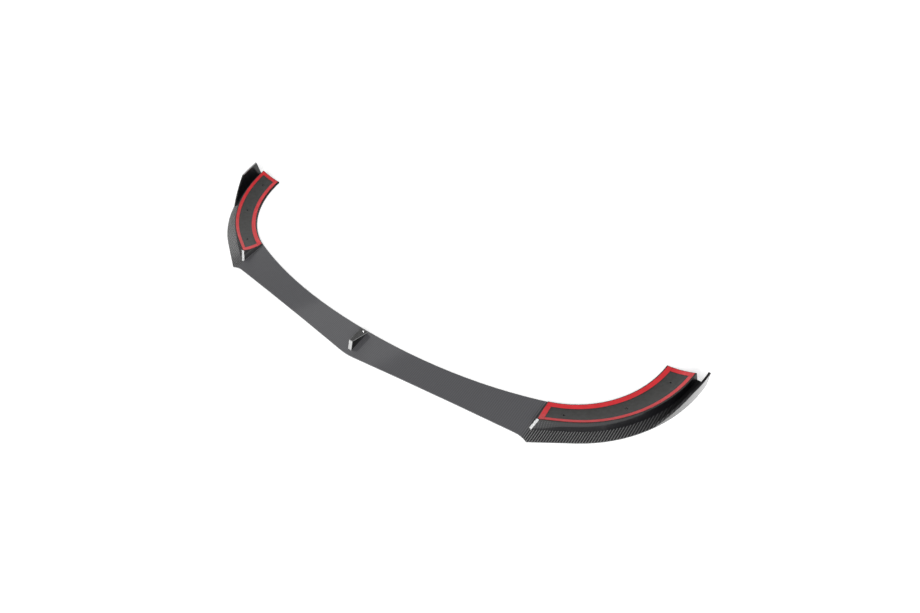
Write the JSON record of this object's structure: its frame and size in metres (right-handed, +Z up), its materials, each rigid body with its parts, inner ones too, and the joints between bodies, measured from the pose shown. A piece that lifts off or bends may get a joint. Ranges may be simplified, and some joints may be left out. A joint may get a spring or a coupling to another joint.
{
  "type": "front splitter lip",
  "caption": "Wide carbon front splitter lip: a flat blade with curled arms, taped bumper seats, upright end fences and a small centre fin.",
  "frame": {"origin": "middle of the underside's bounding box, on the centre line", "axes": "+X to the right-hand end as the front is faced from behind, +Y to the rear of the car, +Z up"},
  "size_m": [1.7862, 0.4453, 0.058],
  "materials": {
    "carbon": "clear-coated carbon twill",
    "fin": "clear-coated carbon",
    "screw": "plated",
    "foam": "matt foam",
    "liner": "red film"
  },
  "bodies": {
    "root": {"splitter_body": "carbon", "centre_fin": "fin", "fin_screw": "screw", "tape_inner_left": "foam", "liner_inner_left": "liner", "tape_outer_left": "foam", "liner_outer_left": "liner", "tape_front_left": "foam", "liner_front_left": "liner", "tape_rear_left": "foam", "liner_rear_left": "liner", "tape_inner_right": "foam", "liner_inner_right": "liner", "tape_outer_right": "foam", "liner_outer_right": "liner", "tape_front_right": "foam", "liner_front_right": "liner", "tape_rear_right": "foam", "liner_rear_right": "liner"}
  },
  "joints": []
}
